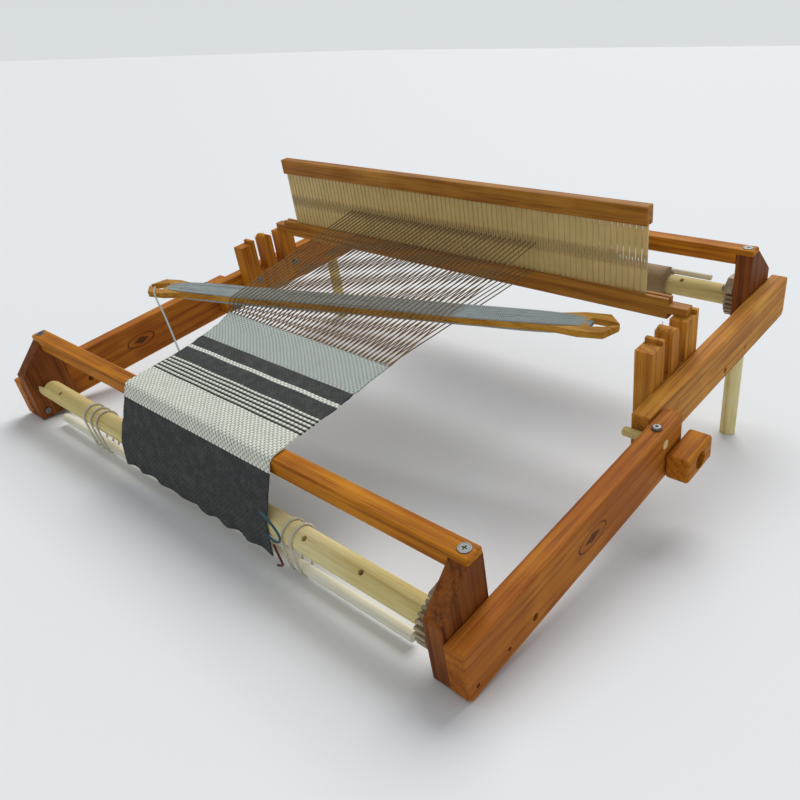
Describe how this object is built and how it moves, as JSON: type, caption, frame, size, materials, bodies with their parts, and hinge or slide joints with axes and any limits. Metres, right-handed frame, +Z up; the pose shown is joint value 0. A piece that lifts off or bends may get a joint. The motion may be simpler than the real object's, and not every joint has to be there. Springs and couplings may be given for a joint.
{
  "type": "rigid heddle loom",
  "caption": "Folding tabletop rigid heddle loom with cheeks, beams, geared rollers with pawls, lift-out heddle, stick shuttle, warp and cloth.",
  "frame": {"origin": "middle of the footprint, on the table under the loom", "axes": "+X along the beams to the weaver's right, +Y from the cloth beam to the warp beam, +Z up"},
  "size_m": [0.7236, 0.5968, 0.2666],
  "materials": {
    "cherry": "oiled cherry",
    "pale_hardwood": "bare sanded maple dowel",
    "knob_wood": "oiled cherry, end grain at the sides",
    "heddle_wood": "honey coloured oiled wood",
    "reed_slats": "cream nylon slats",
    "gear_nylon": "grey tan nylon",
    "tie_rod": "pale dowel",
    "shuttle_wood": "varnished honey coloured wood",
    "weft_yarn": "grey blue wool",
    "teal_yarn": "teal wool",
    "red_yarn": "dark red wool",
    "cloth": "plain woven wool",
    "kraft_paper": "brown kraft paper",
    "warp_yarn": "brown wool",
    "tie_cord": "cream cotton cord",
    "steel": "zinc plated steel"
  },
  "bodies": {
    "front_frame": {"front_rail_right": "cherry", "front_rail_left": "cherry", "front_cheek_right": "cherry", "front_cheek_left": "cherry", "front_beam": "cherry", "front_beam_screws": "steel", "front_cheek_screws": "steel", "stop_pins": "pale_hardwood", "stop_pin_lock_screws": "steel", "pivot_bolts": "steel", "cloth_roller_pins": "steel", "cloth_pawl_screw": "steel", "front_tie_rod": "tie_rod", "tie_cord_left": "tie_cord", "tie_cord_right": "tie_cord", "woven_cloth": "cloth", "weft_tail": "weft_yarn", "teal_end": "teal_yarn", "red_end": "red_yarn"},
    "rear_frame": {"rear_rail_right": "cherry", "rear_rail_left": "cherry", "rear_cheek_right": "cherry", "rear_cheek_left": "cherry", "rear_beam": "cherry", "rear_beam_screws": "steel", "rear_cheek_screws": "steel", "heddle_block_right": "cherry", "heddle_block_left": "cherry", "heddle_block_screws": "steel", "leg_right": "pale_hardwood", "leg_left": "pale_hardwood", "leg_screws": "steel", "warp_roller_pins": "steel", "warp_pawl_screw": "steel", "warp_upper_layer": "warp_yarn", "warp_lower_layer": "warp_yarn", "warp_back_layer": "warp_yarn"},
    "cloth_roller": {"cloth_roller": "pale_hardwood", "cloth_gear": "gear_nylon"},
    "warp_roller": {"warp_roller": "pale_hardwood", "warp_gear": "gear_nylon", "warp_paper": "kraft_paper", "warp_bundle": "warp_yarn", "rear_tie_rod": "tie_rod"},
    "cloth_pawl": {"cloth_pawl": "gear_nylon"},
    "warp_pawl": {"warp_pawl": "gear_nylon"},
    "knob_right": {"knob_right": "knob_wood", "knob_nut_right": "steel"},
    "knob_left": {"knob_left": "knob_wood", "knob_nut_left": "steel"},
    "heddle": {"heddle_bottom_bar": "heddle_wood", "heddle_top_bar": "heddle_wood", "heddle_slats": "reed_slats"},
    "shuttle": {"stick_shuttle": "shuttle_wood", "shuttle_yarn": "weft_yarn"}
  },
  "joints": [
    {"name": "fold", "type": "hinge", "parent": "front_frame", "child": "rear_frame", "pos_m": [0, 0.00214, 0.07129], "axis": [1, 0, 0], "range_deg": [-160, 0], "deforming": ["warp_upper_layer", "warp_lower_layer"]},
    {"name": "cloth_roller_turn", "type": "hinge", "parent": "front_frame", "child": "cloth_roller", "pos_m": [0, -0.27376, 0.03989], "axis": [1, 0, 0], "continuous": true},
    {"name": "warp_roller_turn", "type": "hinge", "parent": "rear_frame", "child": "warp_roller", "pos_m": [0, 0.25562, 0.14037], "axis": [1, 0, 0], "continuous": true},
    {"name": "cloth_pawl_lift", "type": "hinge", "parent": "front_frame", "child": "cloth_pawl", "pos_m": [0, -0.25141, 0.0561], "axis": [-1, 0, 0], "range_deg": [0, 35]},
    {"name": "warp_pawl_lift", "type": "hinge", "parent": "rear_frame", "child": "warp_pawl", "pos_m": [0, 0.2316, 0.15439], "axis": [1, 0, 0], "range_deg": [0, 35]},
    {"name": "knob_right_turn", "type": "hinge", "parent": "front_frame", "child": "knob_right", "pos_m": [0, 0.00214, 0.07129], "axis": [1, 0, 0], "continuous": true},
    {"name": "knob_left_turn", "type": "hinge", "parent": "front_frame", "child": "knob_left", "pos_m": [0, 0.00214, 0.07129], "axis": [-1, 0, 0], "continuous": true},
    {"name": "heddle_lift", "type": "slide", "parent": "rear_frame", "child": "heddle", "axis": [0, -0.1748, 0.9846], "range_m": [0, 0.05]},
    {"name": "shuttle_throw", "type": "slide", "parent": "front_frame", "child": "shuttle", "axis": [0.9608, 0.2719, 0.0545], "range_m": [-0.25, 0.25]}
  ]
}
